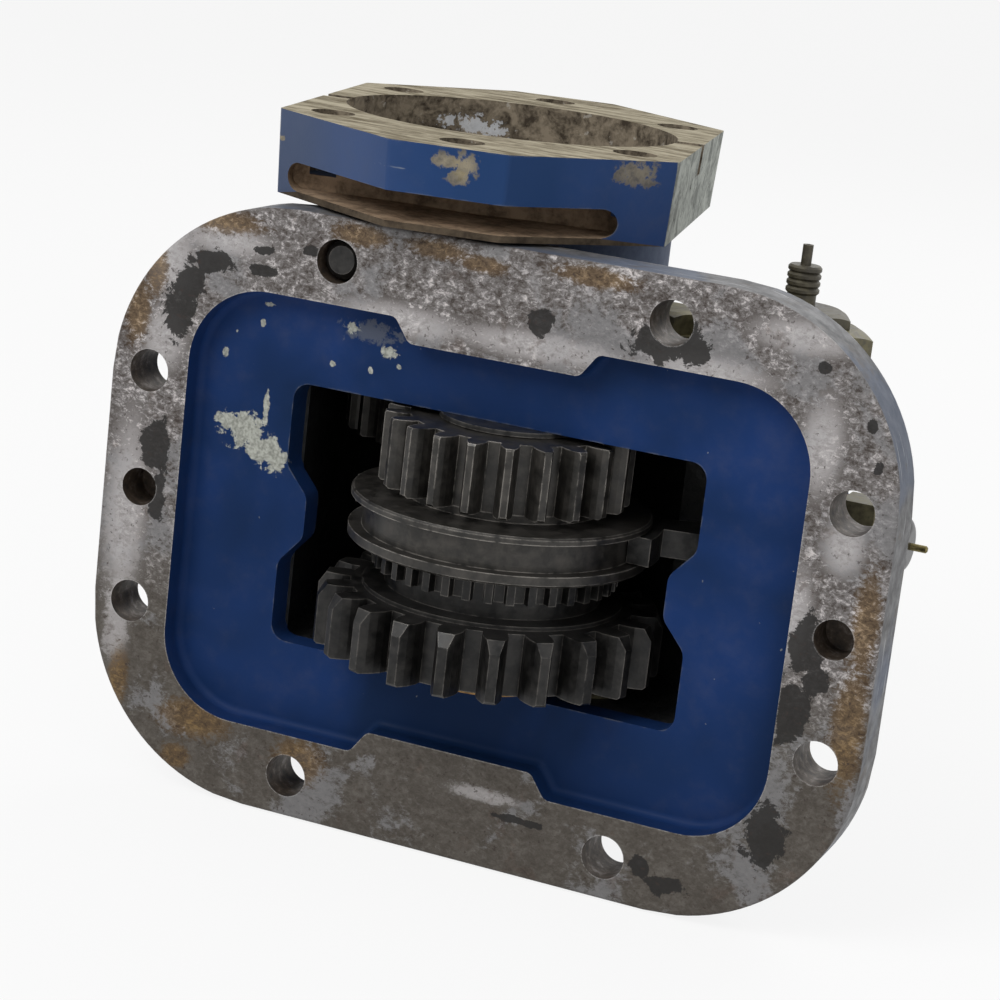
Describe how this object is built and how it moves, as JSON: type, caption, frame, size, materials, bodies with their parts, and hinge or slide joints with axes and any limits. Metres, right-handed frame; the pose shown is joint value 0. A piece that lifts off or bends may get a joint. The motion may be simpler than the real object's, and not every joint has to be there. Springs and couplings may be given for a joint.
{
  "type": "power take off unit",
  "caption": "Power take off with a windowed mounting face, an air shifted sliding gear, a clutch toothed input gear and a splined output in a pump flange.",
  "frame": {"origin": "centre of the mounting face, midway between its bolt holes", "axes": "+Y into the unit, away from the gearbox; +Z along the gear shafts, towards the pump flange; +X to the right when the mounting face is looked at"},
  "size_m": [0.241, 0.2039, 0.2055],
  "materials": {
    "housing_paint": "old deep blue paint, bare ground face",
    "flange_paint": "old deep blue paint with dirt",
    "cover_paint": "old deep blue paint",
    "gasket": "pressed fibre sheet",
    "dark_steel": "blackened",
    "bright_steel": "ground",
    "gear_steel": "dark oiled",
    "fork_iron": "as cast, oily",
    "bronze": "bearing bronze",
    "copper": "soft washer",
    "alloy": "turned",
    "spring_steel": "drawn wire",
    "rubber": "oil seal rubber",
    "zinc_steel": "olive zinc plate",
    "insulator": "black moulding",
    "terminal_brass": "plated pin"
  },
  "bodies": {
    "housing": {"housing": "housing_paint", "pump_flange": "flange_paint", "neck_gasket": "gasket", "neck_screws": "dark_steel", "bottom_cover": "cover_paint", "bottom_gasket": "gasket", "cover_screws": "zinc_steel", "idler_shaft": "bright_steel", "idler_lock_screw": "dark_steel", "idler_plugs": "housing_paint", "input_thrust_washer": "bronze", "input_stop_washer": "dark_steel", "input_snap_ring": "dark_steel", "slider_stop_washer": "dark_steel", "slider_snap_ring": "dark_steel", "upper_outer_race": "bright_steel", "lower_outer_race": "bright_steel", "shaft_seal": "rubber", "shift_cap": "zinc_steel", "cap_washer": "copper", "air_adapter": "zinc_steel", "air_tube": "bright_steel", "switch_body": "zinc_steel", "switch_washer": "copper", "switch_dome": "insulator", "switch_terminal": "terminal_brass", "oil_plug": "zinc_steel", "drain_plug": "zinc_steel", "left_bolt": "dark_steel", "return_spring": "spring_steel"},
    "input_gear": {"input_gear": "gear_steel", "input_needles": "bright_steel"},
    "shifter": {"shift_rail": "bright_steel", "shift_fork": "fork_iron", "fork_pin": "dark_steel", "shift_piston": "alloy", "piston_seal": "rubber", "piston_screw": "dark_steel"},
    "sliding_gear": {"sliding_gear": "gear_steel", "slider_bush": "bronze"},
    "output": {"output_shaft": "bright_steel", "output_gear": "gear_steel", "output_key": "bright_steel", "output_spacer": "dark_steel", "shaft_snap_ring": "dark_steel", "upper_inner_race": "bright_steel", "upper_rollers": "bright_steel", "lower_inner_race": "bright_steel", "lower_rollers": "bright_steel"}
  },
  "joints": [
    {"name": "input_gear_spin", "type": "hinge", "parent": "housing", "child": "input_gear", "pos_m": [0, 0.02, 0], "axis": [0, 0, 1], "continuous": true},
    {"name": "shift_slide", "type": "slide", "parent": "housing", "child": "shifter", "axis": [0, 0, -1], "range_m": [0, 0.0085], "stiffness_N_per_m": 6000, "springref_m": -0.006, "deforming": ["return_spring"]},
    {"name": "sliding_gear_spin", "type": "hinge", "parent": "shifter", "child": "sliding_gear", "pos_m": [0, 0.02, 0], "axis": [0, 0, 1], "continuous": true},
    {"name": "output_spin", "type": "hinge", "parent": "housing", "child": "output", "pos_m": [-0.0355, 0.08199, 0], "axis": [0, 0, 1], "continuous": true}
  ],
  "couplings": [
    {"joint": "output_spin", "follows": "sliding_gear_spin", "ratio": -0.875}
  ]
}
